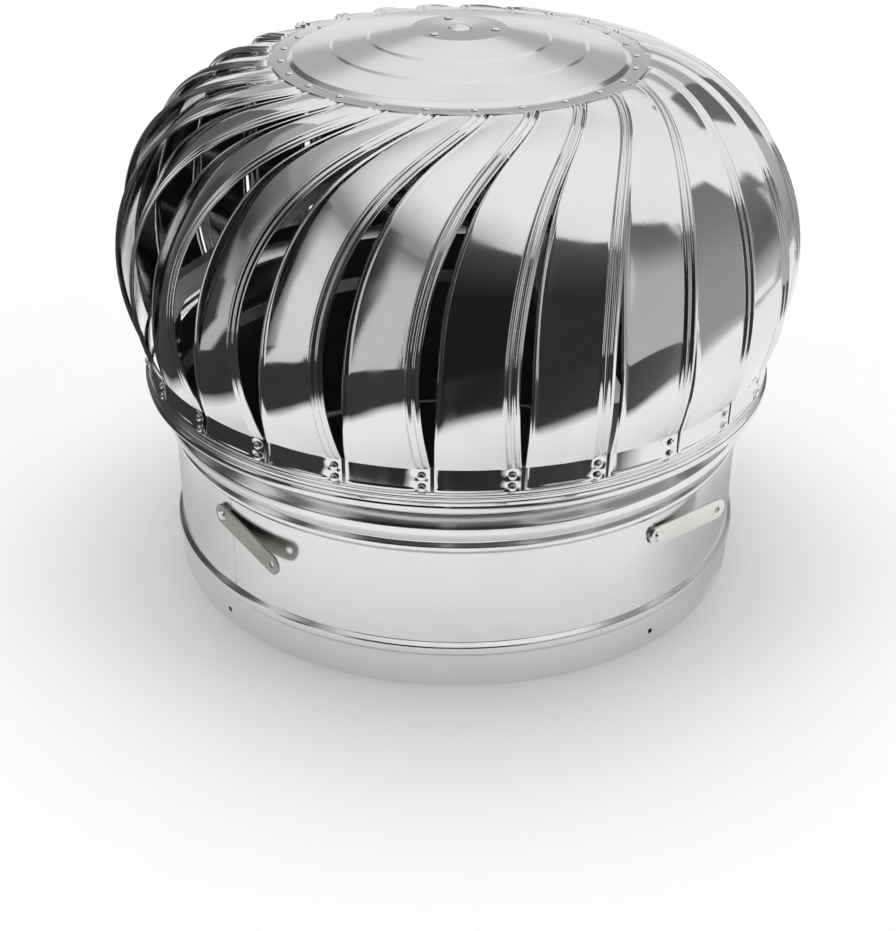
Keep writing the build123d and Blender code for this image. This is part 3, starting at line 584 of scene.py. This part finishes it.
def vane_sections(settings):
    """Sections from foot to tab: edge, inner, outward, bulge, share of rib, share up the foot."""
    foot_r, foot_top, _, _, edge_sweep, inner_sweep = VANE_ROWS[0]
    foot_bulge = foot_r * (1 - math.cos(math.radians(edge_sweep - inner_sweep) / 2)) * MM
    middle = settings.phase + math.radians((edge_sweep + inner_sweep) / 2)
    sections = []
    foot_high = foot_top * MM - settings.foot_bottom
    for share in FOOT_SHARES:
        height = settings.foot_bottom + foot_high * share
        edge = polar(foot_r * MM, settings.phase + math.radians(edge_sweep), height)
        inner = polar(foot_r * MM, settings.phase + math.radians(inner_sweep), height)
        sections.append((edge, inner, polar(1, middle, 0), foot_bulge, 0.0, share))
    for step in range(VANE_STEPS + 1):
        t = step / VANE_STEPS
        radius, height, inner_r, inner_z, sweep, inner_turn = blend_rows(VANE_ROWS, t)
        ahead = blend_rows(VANE_ROWS, t + 0.01)
        behind = blend_rows(VANE_ROWS, t - 0.01)
        climb = Vector((ahead[0] - behind[0], ahead[1] - behind[1])).normalized()
        turn = settings.phase + math.radians((sweep + inner_turn) / 2)
        edge = polar(radius * MM, settings.phase + math.radians(sweep), height * MM)
        inner = polar(inner_r * MM, settings.phase + math.radians(inner_turn), inner_z * MM)
        rib = smooth_step(*RIBS_GROW, t) * (1 - smooth_step(*RIBS_FADE, t))
        spread = smooth_step(*BULGE_GROWS, t)
        bulge = foot_bulge * (1 - spread) + settings.bulge * spread
        bulge *= 1 - smooth_step(*BULGE_FADES, t)
        sections.append((edge, inner, polar(climb.y, turn, -climb.x), bulge, rib, None))
    last_r, last_z, _, _, sweep, inner_turn = VANE_ROWS[-1]
    for step in range(1, 4):
        radius = last_r * MM + (settings.tab_radius - last_r * MM) * step / 3
        edge = polar(radius, settings.phase + math.radians(sweep), last_z * MM)
        inner = polar(radius, settings.phase + math.radians(inner_turn), last_z * MM)
        sections.append((edge, inner, Vector((0, 0, 1)), 0.0, 0.0, None))
    return sections


def vane_shares(settings, width):
    """Distances from the free edge at which a section is drawn: close in the ribs and the hem."""
    ribs = 2 * settings.rib_width
    places = [ribs * k / 16 for k in range(17)]
    places.append(ribs + 0.0012)
    plain = width - settings.hem_width - places[-1]
    places += [places[-1] + plain * k / 12 for k in range(1, 13)]
    places += [width - settings.hem_width * (1 - k / 5) for k in range(1, 6)]
    return places


def vane_lift(settings, along, width, section):
    """How far the sheet stands out of the straight line between its edges."""
    _, _, _, bulge, rib, foot = section
    part = along / width
    lift = 4 * bulge * part * (1 - part)
    if along < 2 * settings.rib_width:
        wave = 0.5 - 0.5 * math.cos(2 * math.pi * along / settings.rib_width)
        lift += settings.rib_height * rib * wave
    from_inner = width - along
    if from_inner < settings.hem_width and foot is None:
        lift += settings.hem_height * math.sin(math.pi * from_inner / settings.hem_width)
    if foot is not None:
        sides = smooth_step(*PANEL_FROM_EDGE, along) * smooth_step(*PANEL_FROM_INNER, from_inner)
        slant = smooth_step(*PANEL_LOWER, foot) * (0.15 + 0.85 * foot)
        lift -= settings.recess * sides * slant * (1 - smooth_step(*PANEL_UPPER, foot))
        lift -= settings.foot_lean * (1 - foot) * (1 - sides)
        for rivet in FOOT_RIVET_SHARES:
            off = math.hypot(along - FOOT_RIVET_IN, (foot - rivet) * FOOT_HEIGHT)
            lift -= settings.dimple * (1 - smooth_step(*DIMPLE_REACH, off))
    return lift


def vane_mesh(settings):
    """One vane as a thin closed sheet."""
    builder = bmesh.new()
    sheets = ([], [])
    for section in vane_sections(settings):
        edge, inner, outward = section[:3]
        across = (inner - edge).normalized()
        up = (outward - across * outward.dot(across)).normalized()
        width = (inner - edge).length
        rows = ([], [])
        for along in vane_shares(settings, width):
            lift = vane_lift(settings, along, width, section)
            for row, gauge in zip(rows, (settings.sheet, 0.0)):
                row.append(builder.verts.new(edge + across * along + up * (lift + gauge)))
        for sheet, row in zip(sheets, rows):
            sheet.append(row)
    outer, back = sheets
    for sheet in sheets:
        for near, far in zip(sheet, sheet[1:]):
            for k in range(len(near) - 1):
                builder.faces.new((near[k], near[k + 1], far[k + 1], far[k]))
    for k in range(len(outer[0]) - 1):
        for row in (0, -1):
            builder.faces.new((outer[row][k], outer[row][k + 1], back[row][k + 1], back[row][k]))
    for row in range(len(outer) - 1):
        for side in (0, -1):
            builder.faces.new(
                (outer[row][side], outer[row + 1][side], back[row + 1][side], back[row][side]))
    return smoothed(builder, "vane sheet", crease=math.radians(50))


class VENT_OT_vanes(Operator):
    """Press the ribbed, twisted vanes and set them round the rotor"""

    bl_idname = "vent.vanes"
    bl_label = "Vanes"

    def execute(self, context):
        settings = context.scene.vent_vanes
        metal = finishes()["bright vane steel"]
        first = vane_mesh(settings)
        for number in range(settings.count):
            name = f"vane_{number + 1:02d}"
            mesh = first.copy()
            mesh.transform(Matrix.Rotation(number * 2 * math.pi / settings.count, 4, "Z"))
            piece(f"sheet_{name}", mesh, "rotor", metal, [name])
        bpy.data.meshes.remove(first)
        return {"FINISHED"}


# ------------------------------------------------------------------ turned shells
class VENT_OT_shells(Operator):
    """Turn the neck, the rotor ring and the top plate"""

    bl_idname = "vent.shells"
    bl_label = "Turned shells"

    def execute(self, context):
        looks = finishes()
        sizes = context.scene.vent_neck
        steel_of_neck = looks["pale neck steel"]
        neck = turned("neck sheet", NECK_OUTLINE, segments=320)
        shell = piece("neck_sheet", neck, "base", steel_of_neck, ["neck_shell"])
        self.pierce(context, shell, sizes.screw_hole)
        piece("neck_lap", self.lap(sizes), "base", steel_of_neck)
        ring = turned("ring sheet", RING_OUTLINE, segments=320)
        piece("ring_sheet", ring, "rotor", looks["bright ring steel"],
              ["rotor_ring"])
        top = turned("top sheet", TOP_OUTLINE, segments=256)
        piece("top_sheet", top, "rotor", looks["spun top steel"], ["top_plate"])
        return {"FINISHED"}

    @staticmethod
    def lap(sizes):
        """The lapped end of the neck's sheet, which stands proud along one upright edge."""
        builder = bmesh.new()
        steps = 8
        sunk = WALL_R - 0.0002
        rows = [[builder.verts.new(polar(sunk, LAP_TURN, z)) for z in WALL_SPAN]]
        for step in range(steps + 1):
            share = step / steps
            turn = LAP_TURN - share * sizes.lap_width / WALL_R
            radius = WALL_R + sizes.lap_height * (1 - share) ** 2
            rows.append([builder.verts.new(polar(radius, turn, z)) for z in WALL_SPAN])
        for near, far in zip(rows, rows[1:]):
            builder.faces.new((near[0], near[1], far[1], far[0]))
        return smoothed(builder, "neck lap")

    @staticmethod
    def pierce(context, shell, radius):
        """Drill the four screw holes through the skirt."""
        builder = bmesh.new()
        for number in range(4):
            angle = SCREW_TURN + number * math.pi / 2
            facing = polar(1, angle, 0).to_track_quat("Z", "X").to_matrix().to_4x4()
            spot = Matrix.Translation(polar(SKIRT_R, angle, SCREW_HEIGHT)) @ facing
            bmesh.ops.create_cone(
                builder, cap_ends=True, segments=24, radius1=radius, radius2=radius,
                depth=0.006, matrix=spot)
        drill_mesh = bpy.data.meshes.new("drill")
        builder.to_mesh(drill_mesh)
        builder.free()
        drill = bpy.data.objects.new("drill", drill_mesh)
        context.scene.collection.objects.link(drill)
        cut = shell.modifiers.new("screw holes", "BOOLEAN")
        cut.operation = "DIFFERENCE"
        cut.object = drill
        cut.solver = "EXACT"
        context.view_layer.update()
        solved = bpy.data.meshes.new_from_object(
            shell.evaluated_get(context.evaluated_depsgraph_get()))
        shell.modifiers.clear()
        shell.data = solved
        bpy.data.objects.remove(drill)


# ------------------------------------------------------------------ rivets
class VENT_OT_rivets(Operator):
    """Set the domed rivet heads"""

    bl_idname = "vent.rivets"
    bl_label = "Rivets"

    def execute(self, context):
        vanes = context.scene.vent_vanes
        sizes = context.scene.vent_rivets
        metal = finishes()["rivet metal"]
        pitch = 2 * math.pi / vanes.count
        up = Vector((0, 0, 1))
        rim = []
        foot = []
        boss = []
        for number in range(vanes.count):
            foot_turn = vanes.phase + number * pitch
            rim.append((polar(RIM_RIVET_R, foot_turn + RIM_RIVET_SWEEP, RIM_RIVET_HEIGHT), up))
            for height in FOOT_RIVET_HEIGHTS:
                foot.append((polar(FOOT_RIVET_R, foot_turn, height), polar(1, foot_turn, 0)))
        for number in range(3):
            turn = BOSS_RIVET_TURN + number * 2 * math.pi / 3
            for height, outward in zip(BOSS_RIVET_HEIGHTS, (up, -up)):
                boss.append((polar(BOSS_RIVET_R, turn, height), outward))
        for name, seats, radius, replaced in (
                ("rim_rivet_heads", rim, sizes.rim_head, "rim_rivets"),
                ("foot_rivet_heads", foot, sizes.foot_head, "foot_rivets"),
                ("boss_rivet_heads", boss, sizes.boss_head, "shaft_rivets")):
            heads = domes(name, seats, radius, sizes.dome)
            piece(name, heads, "rotor", metal, [replaced])
        return {"FINISHED"}


# ------------------------------------------------------------------ carried-over nodes
class VENT_OT_kept(Operator):
    """Give the kept nodes their metals"""

    bl_idname = "vent.kept"
    bl_label = "Kept nodes"

    def execute(self, context):
        looks = finishes()
        for finish, names in KEPT_NODES.items():
            for name in names:
                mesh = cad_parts[name].data
                mesh.materials.clear()
                mesh.materials.append(looks[finish])
        return {"FINISHED"}


# ------------------------------------------------------------------ stage
def grey_ramp(tree, stops):
    """A ramp of greys from (place, grey) stops."""
    ramp = node(tree, "ShaderNodeValToRGB")
    while len(ramp.color_ramp.elements) < len(stops):
        ramp.color_ramp.elements.new(0.5)
    for element, (place, grey) in zip(ramp.color_ramp.elements, stops):
        element.position = place
        element.color = (grey, grey, grey, 1)
    return ramp


def self_lit(name, points, faces, greys, covers):
    """A card with a grey at each of its points, seen in polished metal and nowhere else."""
    mesh = bpy.data.meshes.new(name)
    mesh.from_pydata(points, [], faces)
    for label, values in (("grey", greys), ("cover", covers)):
        mesh.attributes.new(label, "FLOAT", "POINT").data.foreach_set("value", values)
    material, tree = new_material(name.replace("_", " "))
    grey = node(tree, "ShaderNodeAttribute", attribute_name="grey")
    cover = node(tree, "ShaderNodeAttribute", attribute_name="cover")
    light = node(tree, "ShaderNodeEmission", Strength=1.0)
    clear = node(tree, "ShaderNodeBsdfTransparent")
    both = node(tree, "ShaderNodeMixShader")
    out = node(tree, "ShaderNodeOutputMaterial")
    tree.links.new(grey.outputs["Color"], light.inputs["Color"])
    tree.links.new(cover.outputs["Fac"], both.inputs["Fac"])
    tree.links.new(clear.outputs["BSDF"], both.inputs[1])
    tree.links.new(light.outputs["Emission"], both.inputs[2])
    tree.links.new(both.outputs["Shader"], out.inputs["Surface"])
    mesh.materials.append(material)
    card = bpy.data.objects.new(name, mesh)
    bpy.context.scene.collection.objects.link(card)
    card.visible_camera = False
    card.visible_diffuse = False
    card.visible_shadow = False
    card.visible_transmission = False


class VENT_OT_stage(Operator):
    """Lay the floor and set the lamps and the camera"""

    bl_idname = "vent.stage"
    bl_label = "Stage"

    def execute(self, context):
        settings = context.scene.vent_studio
        self.floor(settings)
        self.mirrored_wall(settings)
        self.mirrored_floor(settings)
        self.mirrored_neck_shade()
        self.world(context)
        self.lamps(context, settings)
        self.camera(context, settings)
        context.scene.view_settings.view_transform = "Standard"
        return {"FINISHED"}

    @staticmethod
    def floor(settings):
        """A plain floor that is white away from the model, with painted shade (a dark grey) inside the
        throat.
        """
        paint, tree = new_material("plain floor")
        link = tree.links.new
        place = node(tree, "ShaderNodeTexCoord")
        distance = node(tree, "ShaderNodeVectorMath", operation="LENGTH")
        away = between(tree, *FLOOR_FADE, interpolation_type="SMOOTHSTEP")
        path = node(tree, "ShaderNodeLightPath")
        seen = node(tree, "ShaderNodeMath", operation="MULTIPLY")
        matt = node(tree, "ShaderNodeBsdfPrincipled", Roughness=0.75)
        white = node(tree, "ShaderNodeEmission", Color=(1, 1, 1, 1), Strength=1.0)
        both = node(tree, "ShaderNodeMixShader")
        out = node(tree, "ShaderNodeOutputMaterial")
        # Painted shade: the floor inside the neck is coloured dark grey.
        throat = between(tree, *THROAT_EDGE)
        tone = node(tree, "ShaderNodeMix", data_type="RGBA", blend_type="MIX")
        tone.inputs["A"].default_value = THROAT_PAINTED_SHADE
        tone.inputs["B"].default_value = settings.floor_colour
        link(distance.outputs["Value"], throat.inputs["Value"])
        link(throat.outputs["Result"], tone.inputs["Factor"])
        link(tone.outputs["Result"], matt.inputs["Base Color"])
        link(place.outputs["Object"], distance.inputs[0])
        link(distance.outputs["Value"], away.inputs["Value"])
        link(away.outputs["Result"], seen.inputs[0])
        link(path.outputs["Is Camera Ray"], seen.inputs[1])
        link(seen.outputs["Value"], both.inputs["Fac"])
        link(matt.outputs["BSDF"], both.inputs[1])
        link(white.outputs["Emission"], both.inputs[2])
        link(both.outputs["Shader"], out.inputs["Surface"])
        corners = [(x * FLOOR_HALF, y * FLOOR_HALF, 0)
                   for x, y in ((-1, -1), (1, -1), (1, 1), (-1, 1))]
        mesh = bpy.data.meshes.new("floor")
        mesh.from_pydata(corners, [], [(0, 1, 2, 3)])
        mesh.materials.append(paint)
        card = bpy.data.objects.new("floor", mesh)
        bpy.context.scene.collection.objects.link(card)

    @staticmethod
    def mirrored_wall(settings):
        """The upright cards of the studio that the metal mirrors."""
        points, greys, faces = [], [], []
        for start, end, lean, levels in STUDIO_CARDS:
            first = len(points)
            top = levels[-1][0]
            for step in range(CARD_STEPS + 1):
                turn = start + (end - start) * step / CARD_STEPS
                for height, grey in levels:
                    leant = FRONT + math.radians(turn - lean * max(height, 0) / top)
                    reach = settings.wall_radius + min(height, 0)
                    points.append(polar(reach, leant, max(height, CARD_LIFT)))
                    greys.append(grey)
            for step in range(CARD_STEPS):
                for row in range(len(levels) - 1):
                    near = first + len(levels) * step + row
                    far = near + len(levels)
                    faces.append((near, far, far + 1, near + 1))
        self_lit("studio_wall", points, faces, greys, [1.0] * len(points))

    @staticmethod
    def mirrored_floor(settings):
        """The dark floor that starts some way from the model in what the metal mirrors."""
        points, greys, covers, faces = [], [], [], []
        end_of_floor = settings.wall_radius + 0.02
        for start, end in zip(FLOOR_EDGE, FLOOR_EDGE[1:]):
            for step in range(CARD_STEPS):
                share = step / CARD_STEPS
                turn, near, far, grey = (a + (b - a) * share for a, b in zip(start, end))
                turn = FRONT + math.radians(turn)
                points += [polar(reach, turn, DARK_FLOOR_LIFT)
                           for reach in (near, far, end_of_floor)]
                greys += [grey] * 3
                covers += [0.0, 1.0, 1.0]
        count = len(points) // 3
        for spoke in range(count):
            after = (spoke + 1) % count
            for row in (0, 1):
                a, b = 3 * spoke + row, 3 * after + row
                faces.append((a, b, b + 1, a + 1))
        self_lit("dark_floor", points, faces, greys, covers)

    @staticmethod
    def mirrored_neck_shade():
        """The soft grey patches beside the neck in what the metal mirrors."""
        points, greys, covers, faces = [], [], [], []
        rings = len(NECK_SHADE_REACH)
        for patch in NECK_SHADES:
            for turn, grey, shown in patch:
                for reach, share in NECK_SHADE_REACH:
                    points.append(
                        polar(reach, FRONT + math.radians(turn), NECK_SHADE_LIFT))
                    greys.append(grey)
                    covers.append(share * shown)
            first = len(points) - rings * len(patch)
            for spoke in range(len(patch) - 1):
                for row in range(rings - 1):
                    near = first + rings * spoke + row
                    faces.append((near, near + rings, near + rings + 1, near + 1))
        self_lit("neck_shade", points, faces, greys, covers)

    @staticmethod
    def world(context):
        """White for the camera, even light for matt things, and a paler ceiling to the right."""
        world = bpy.data.worlds.new("studio air")
        context.scene.world = world
        world.use_nodes = True
        tree = world.node_tree
        tree.nodes.clear()
        link = tree.links.new
        place = node(tree, "ShaderNodeTexCoord")
        split = node(tree, "ShaderNodeSeparateXYZ")
        across = between(tree, -1.0, 1.0)
        ceiling = grey_ramp(tree, (
            (0.0, 0.22), (0.2, 0.33), (0.36, 0.50), (0.48, 0.80), (0.65, 0.92), (1.0, 1.0)))
        overhead = grey_ramp(tree, ((0.0, 0.0), (0.72, 0.0), (0.93, 1.0)))
        blend = node(tree, "ShaderNodeMix", data_type="RGBA", blend_type="MIX")
        blend.inputs["B"].default_value = (0.97, 0.97, 0.97, 1)
        seen = node(tree, "ShaderNodeBackground", Strength=1.0)
        lit = node(tree, "ShaderNodeBackground", Color=(1, 1, 1, 1), Strength=0.55)
        camera_white = node(tree, "ShaderNodeBackground", Color=(1, 1, 1, 1), Strength=1.0)
        path = node(tree, "ShaderNodeLightPath")
        by_gloss = node(tree, "ShaderNodeMixShader")
        by_camera = node(tree, "ShaderNodeMixShader")
        out = node(tree, "ShaderNodeOutputWorld")
        link(place.outputs["Generated"], split.inputs["Vector"])
        link(split.outputs["X"], across.inputs["Value"])
        link(across.outputs["Result"], ceiling.inputs["Fac"])
        link(split.outputs["Z"], overhead.inputs["Fac"])
        link(overhead.outputs["Color"], blend.inputs["Factor"])
        link(ceiling.outputs["Color"], blend.inputs["A"])
        link(blend.outputs["Result"], seen.inputs["Color"])
        link(path.outputs["Is Glossy Ray"], by_gloss.inputs["Fac"])
        link(lit.outputs["Background"], by_gloss.inputs[1])
        link(seen.outputs["Background"], by_gloss.inputs[2])
        link(path.outputs["Is Camera Ray"], by_camera.inputs["Fac"])
        link(by_gloss.outputs["Shader"], by_camera.inputs[1])
        link(camera_white.outputs["Background"], by_camera.inputs[2])
        link(by_camera.outputs["Shader"], out.inputs["Surface"])

    @staticmethod
    def lamps(context, settings):
        """Three softboxes: name, place, what each is aimed at, its size and its watts."""
        boxes = (
            ("top softbox", (0.0, 0.25, 2.2), (0, 0.05, 0.3), (1.8, 1.4), settings.top_light),
            ("left softbox", (-2.0, -0.9, 1.3), (0, 0, 0.25), (1.2, 1.6), settings.side_light),
            ("right softbox", (2.1, -0.7, 1.2), (0, 0, 0.25), (1.2, 1.6), settings.side_light),
        )
        for name, place, aim, size, power in boxes:
            lamp = bpy.data.lights.new(name, "AREA")
            lamp.shape = "RECTANGLE"
            lamp.size, lamp.size_y = size
            lamp.energy = power
            holder = bpy.data.objects.new(name.replace(" ", "_"), lamp)
            context.scene.collection.objects.link(holder)
            holder.location = place
            holder.visible_glossy = False
            holder.rotation_euler = (Vector(aim) - Vector(place)).to_track_quat(
                "-Z", "Y").to_euler()

    @staticmethod
    def camera(context, settings):
        """A camera in front that looks down at the ventilator."""
        lens = bpy.data.cameras.new("camera")
        lens.sensor_fit = "HORIZONTAL"
        lens.sensor_width = 36.0
        lens.lens = settings.lens
        lens.clip_start = 0.05
        eye = bpy.data.objects.new("camera", lens)
        context.scene.collection.objects.link(eye)
        tilt = Quaternion((1, 0, 0), math.radians(90) - EYE_DOWN)
        turn = Quaternion((0, 0, 1), EYE_TURN)
        roll = Quaternion((0, 0, 1), EYE_ROLL)
        eye.rotation_mode = "QUATERNION"
        eye.rotation_quaternion = turn @ tilt @ roll
        eye.location = EYE
        context.scene.camera = eye


# ------------------------------------------------------------------ panel and registration
class VENT_PT_sidebar(Panel):
    """Builds the ventilator's visible pieces one group at a time"""

    bl_idname = "VENT_PT_sidebar"
    bl_label = "Roof Ventilator"
    bl_space_type = "VIEW_3D"
    bl_region_type = "UI"
    bl_category = "Ventilator"

    def draw(self, context):
        for label, kind in SETTINGS.items():
            box = self.layout.box()
            for name in kind.__annotations__:
                box.prop(getattr(context.scene, label), name)
        for step in BUILD_STEPS:
            self.layout.operator(step.bl_idname)


BUILD_STEPS = (VENT_OT_vanes, VENT_OT_shells, VENT_OT_rivets, VENT_OT_kept, VENT_OT_stage)
SETTINGS = {
    "vent_vanes": VaneSettings,
    "vent_neck": NeckSettings,
    "vent_rivets": RivetSettings,
    "vent_finish": FinishSettings,
    "vent_studio": StudioSettings,
}


def register():
    """Make the settings, the build steps and the panel known to Blender."""
    for name, group in SETTINGS.items():
        bpy.utils.register_class(group)
        setattr(bpy.types.Scene, name, PointerProperty(type=group))
    for step in BUILD_STEPS:
        bpy.utils.register_class(step)
    bpy.utils.register_class(VENT_PT_sidebar)


def unregister():
    """Undo register."""
    bpy.utils.unregister_class(VENT_PT_sidebar)
    for step in reversed(BUILD_STEPS):
        bpy.utils.unregister_class(step)
    for name, group in SETTINGS.items():
        delattr(bpy.types.Scene, name)
        bpy.utils.unregister_class(group)


def main():
    """Build every piece in order."""
    register()
    for step in BUILD_STEPS:
        space, name = step.bl_idname.split(".")
        getattr(getattr(bpy.ops, space), name)()


if __name__ == "__main__":
    main()
